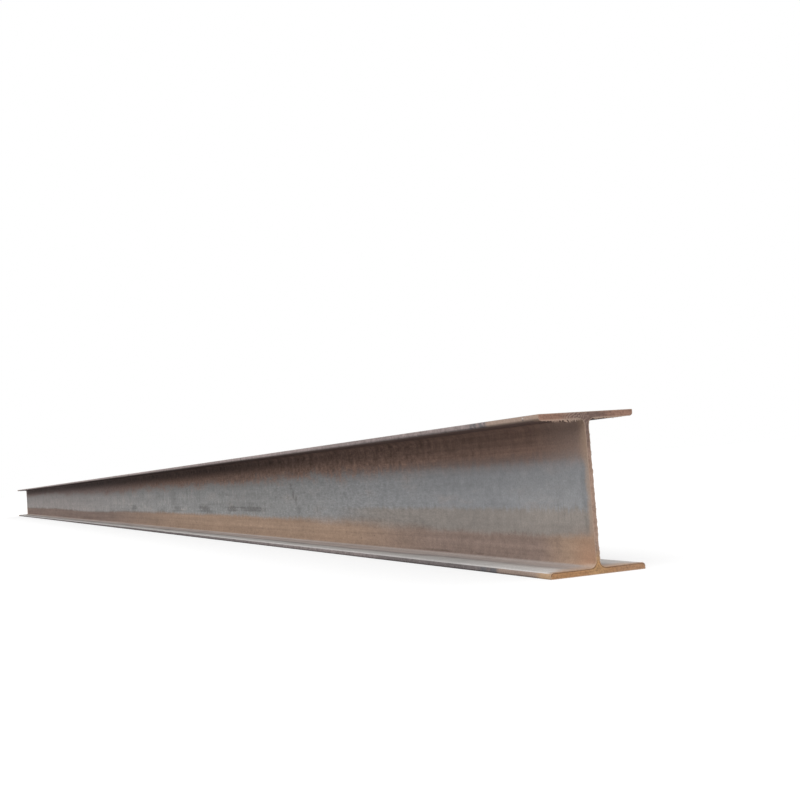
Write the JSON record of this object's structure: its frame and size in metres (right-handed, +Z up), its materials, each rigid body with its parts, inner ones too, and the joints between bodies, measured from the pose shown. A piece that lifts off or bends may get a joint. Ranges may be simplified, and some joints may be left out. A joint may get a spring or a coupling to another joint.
{
  "type": "steel h-beam",
  "caption": "Hot-rolled steel H-beam: parallel flanges joined by a web with rounded roots, sawn square, mill scale with light rust; carries load in building frames.",
  "frame": {"origin": "middle of the lower flange's underside, at half the beam's length", "axes": "+X along the beam, +Y across the flanges, +Z up the web"},
  "size_m": [12, 0.2, 0.294],
  "materials": {
    "mill_scale_steel": "matte"
  },
  "bodies": {
    "root": {"h_beam": "mill_scale_steel"}
  },
  "joints": []
}
